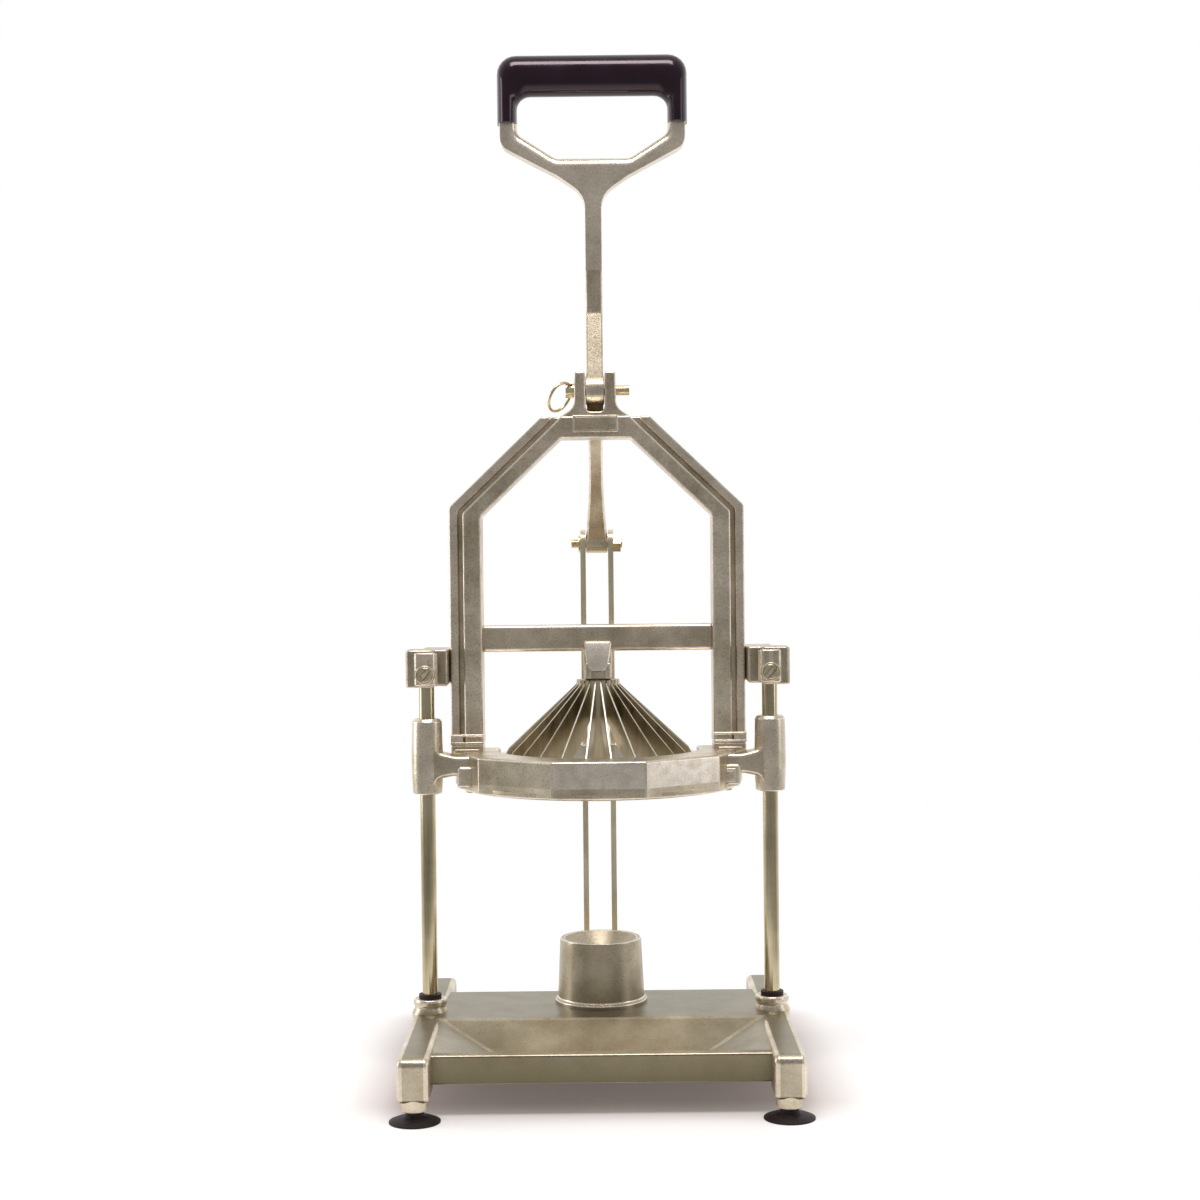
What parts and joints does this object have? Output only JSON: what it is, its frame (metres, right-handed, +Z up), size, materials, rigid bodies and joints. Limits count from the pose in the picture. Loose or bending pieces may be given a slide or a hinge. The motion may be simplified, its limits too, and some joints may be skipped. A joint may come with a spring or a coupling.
{
  "type": "blossom cutter press",
  "caption": "Counter-top lever press whose slanted radial blades slide down two guide rods to cut an onion or apple on a pedestal into joined petals.",
  "frame": {"origin": "on the table, midway between the two guide rods", "axes": "+Z up along the guide rods, -Y towards the user, +X to the right seen from the front"},
  "size_m": [0.2414, 0.2534, 0.637],
  "materials": {
    "cast_aluminium": "bead-blasted cast aluminium with polished edges",
    "rod_steel": "ground and polished steel rod",
    "blade_steel": "dark stainless sheet with bright ground edges",
    "link_steel": "satin stainless strap",
    "fastener_steel": "plated steel",
    "brass": "plain brass",
    "rubber": "matt dark rubber",
    "grip": "glossy dark dipped vinyl"
  },
  "bodies": {
    "base": {"base_casting": "cast_aluminium", "clamp_screws": "fastener_steel", "foot_studs": "fastener_steel", "guide_rod_left": "rod_steel", "guide_rod_right": "rod_steel", "pedestal": "cast_aluminium", "pedestal_bolt": "fastener_steel", "rod_bumper_left": "rubber", "rod_bumper_right": "rubber", "rod_clamp_left": "cast_aluminium", "rod_clamp_right": "cast_aluminium", "suction_foot_front_left": "rubber", "suction_foot_front_right": "rubber", "suction_foot_rear_left": "rubber", "suction_foot_rear_right": "rubber"},
    "carriage": {"blade_01": "blade_steel", "blade_02": "blade_steel", "blade_03": "blade_steel", "blade_04": "blade_steel", "blade_05": "blade_steel", "blade_06": "blade_steel", "blade_07": "blade_steel", "blade_08": "blade_steel", "blade_09": "blade_steel", "blade_10": "blade_steel", "blade_11": "blade_steel", "blade_12": "blade_steel", "blade_13": "blade_steel", "blade_14": "blade_steel", "blade_15": "blade_steel", "blade_16": "blade_steel", "blade_17": "blade_steel", "blade_18": "blade_steel", "blade_19": "blade_steel", "blade_20": "blade_steel", "blade_21": "blade_steel", "blade_22": "blade_steel", "blade_23": "blade_steel", "blade_24": "blade_steel", "blade_holder": "cast_aluminium", "blade_hub": "blade_steel", "blade_ring": "blade_steel", "core_tube": "blade_steel", "frame_screws": "brass", "guide_bush_left": "brass", "guide_bush_right": "brass", "hub_stud": "fastener_steel", "pivot_pin": "fastener_steel", "ring_screws": "fastener_steel", "upper_frame": "cast_aluminium"},
    "lever": {"lever": "cast_aluminium", "grip": "grip"},
    "links": {"link_left": "link_steel", "link_right": "link_steel", "link_top_pin": "fastener_steel", "link_top_nut": "fastener_steel", "link_anchor_pin": "fastener_steel", "spring_clips": "fastener_steel"},
    "pull_ring": {"pull_ring": "fastener_steel"}
  },
  "joints": [
    {"name": "carriage_slide", "type": "slide", "parent": "base", "child": "carriage", "axis": [0, 0, -1], "range_m": [0, 0.124]},
    {"name": "lever_pivot", "type": "hinge", "parent": "carriage", "child": "lever", "pos_m": [0, 0.025, 0.4226], "axis": [1, 0, 0], "range_deg": [-0.5, 56.81]},
    {"name": "link_swing", "type": "hinge", "parent": "lever", "child": "links", "pos_m": [0, 0.1172, 0.327], "axis": [1, 0, 0], "range_deg": [-64.21, 0.5]},
    {"name": "pull_ring_swing", "type": "hinge", "parent": "carriage", "child": "pull_ring", "pos_m": [-0.0156, 0.025, 0.4226], "axis": [0, 0.6428, -0.766], "range_deg": [0, 135]}
  ],
  "couplings": [
    {"joint": "lever_pivot", "follows": "carriage_slide", "rad_per_m": 7.9259},
    {"joint": "link_swing", "follows": "carriage_slide", "rad_per_m": -8.9672}
  ]
}
